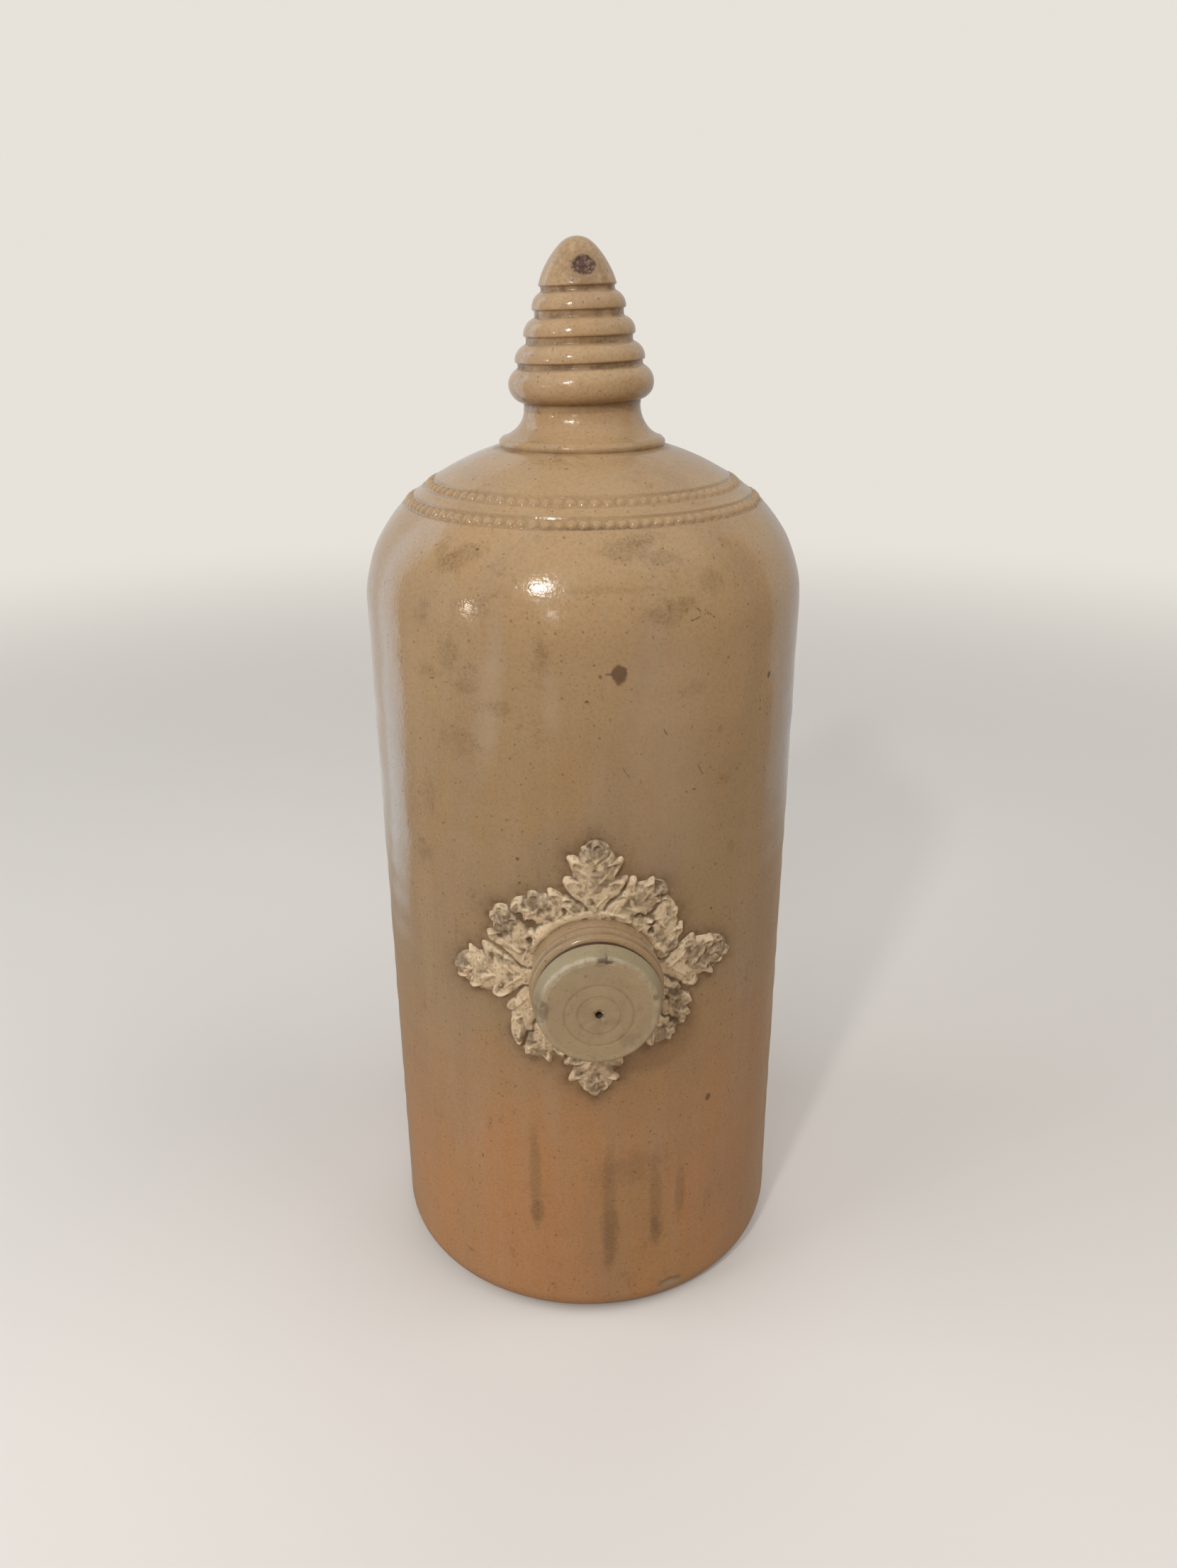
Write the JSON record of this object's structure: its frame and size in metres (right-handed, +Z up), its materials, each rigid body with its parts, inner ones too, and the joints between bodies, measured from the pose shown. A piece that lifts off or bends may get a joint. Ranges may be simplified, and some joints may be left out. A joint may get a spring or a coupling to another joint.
{
  "type": "stoneware hot water bottle",
  "caption": "Upright salt-glazed stoneware hot water bottle: straight cylinder, beaded shoulder, ringed finial, and a screw stopper on the front inside a wreath of pale leaves.",
  "frame": {"origin": "middle of the flat base, on the bottle's axis", "axes": "+Z up along the bottle's axis, -Y out of the front along the spout, +X to the right as seen from the front"},
  "size_m": [0.146, 0.1682, 0.362],
  "materials": {
    "salt_glazed_stoneware": "glossy with orange peel",
    "white_clay": "satin",
    "stopper_stoneware": "matt",
    "washer_rubber": "matt"
  },
  "bodies": {
    "bottle": {"bottle": "salt_glazed_stoneware", "leaf_wreath": "white_clay"},
    "washer": {"stopper_washer": "washer_rubber"},
    "stopper": {"stopper": "stopper_stoneware"}
  },
  "joints": [
    {"name": "stopper_lift", "type": "slide", "parent": "bottle", "child": "washer", "axis": [0, -1, 0], "range_m": [0, 0.028]},
    {"name": "stopper_turn", "type": "hinge", "parent": "washer", "child": "stopper", "pos_m": [0, -0.09, 0.1455], "axis": [0, -1, 0], "range_deg": [0, 1260]}
  ],
  "couplings": [
    {"joint": "stopper_lift", "follows": "stopper_turn", "m_per_rad": 0.0012732}
  ]
}
